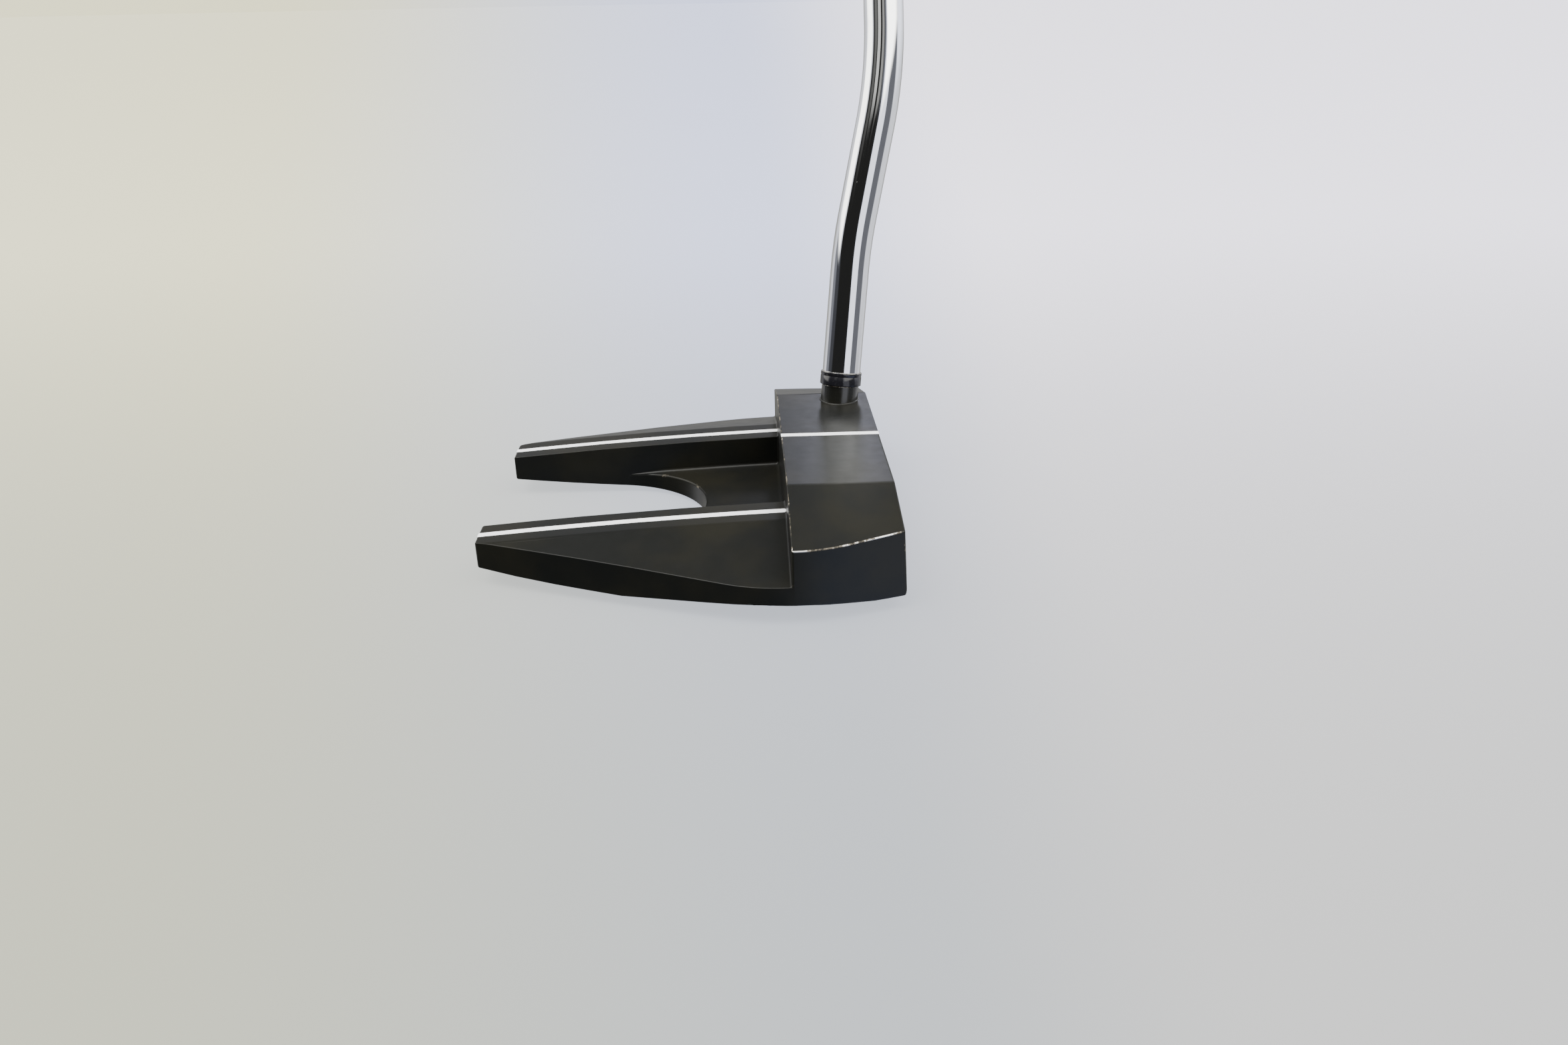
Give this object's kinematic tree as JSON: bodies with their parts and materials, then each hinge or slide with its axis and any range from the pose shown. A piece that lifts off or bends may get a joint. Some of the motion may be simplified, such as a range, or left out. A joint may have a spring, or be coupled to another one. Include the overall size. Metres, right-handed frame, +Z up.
{
  "type": "mallet putter",
  "caption": "Golf putter: two-prong mallet head with white sight lines and a face insert, a double-bend chrome shaft over a post on the head, and a flat-front rubber grip.",
  "frame": {"origin": "on the ground, at the middle of the flat spot of the sole, behind the middle of the face", "axes": "+X from the face towards the target, +Y from toe to heel, +Z up; the upper shaft leans 20 degrees from vertical towards +Y"},
  "size_m": [0.1069, 0.3647, 0.815],
  "materials": {
    "head_finish": "satin dark grey coating on cast steel, worn to bright metal along the edges",
    "insert_polymer": "fine moulded texture",
    "adhesive": "cured epoxy film",
    "line_paint": "matt white paint fill",
    "ferrule": "polished",
    "shaft_chrome": "bright chrome plate on steel tube",
    "grip_tape": "creped paper tape",
    "grip_rubber": "matt, lightly textured"
  },
  "bodies": {
    "root": {"head_body": "head_finish", "face_insert": "insert_polymer", "insert_adhesive": "adhesive", "crown_sight_line": "line_paint", "toe_sight_line": "line_paint", "heel_sight_line": "line_paint", "ferrule_collar": "ferrule", "shaft": "shaft_chrome", "shaft_epoxy": "adhesive", "grip_tape": "grip_tape", "grip": "grip_rubber", "grip_cap": "grip_rubber"}
  },
  "joints": []
}
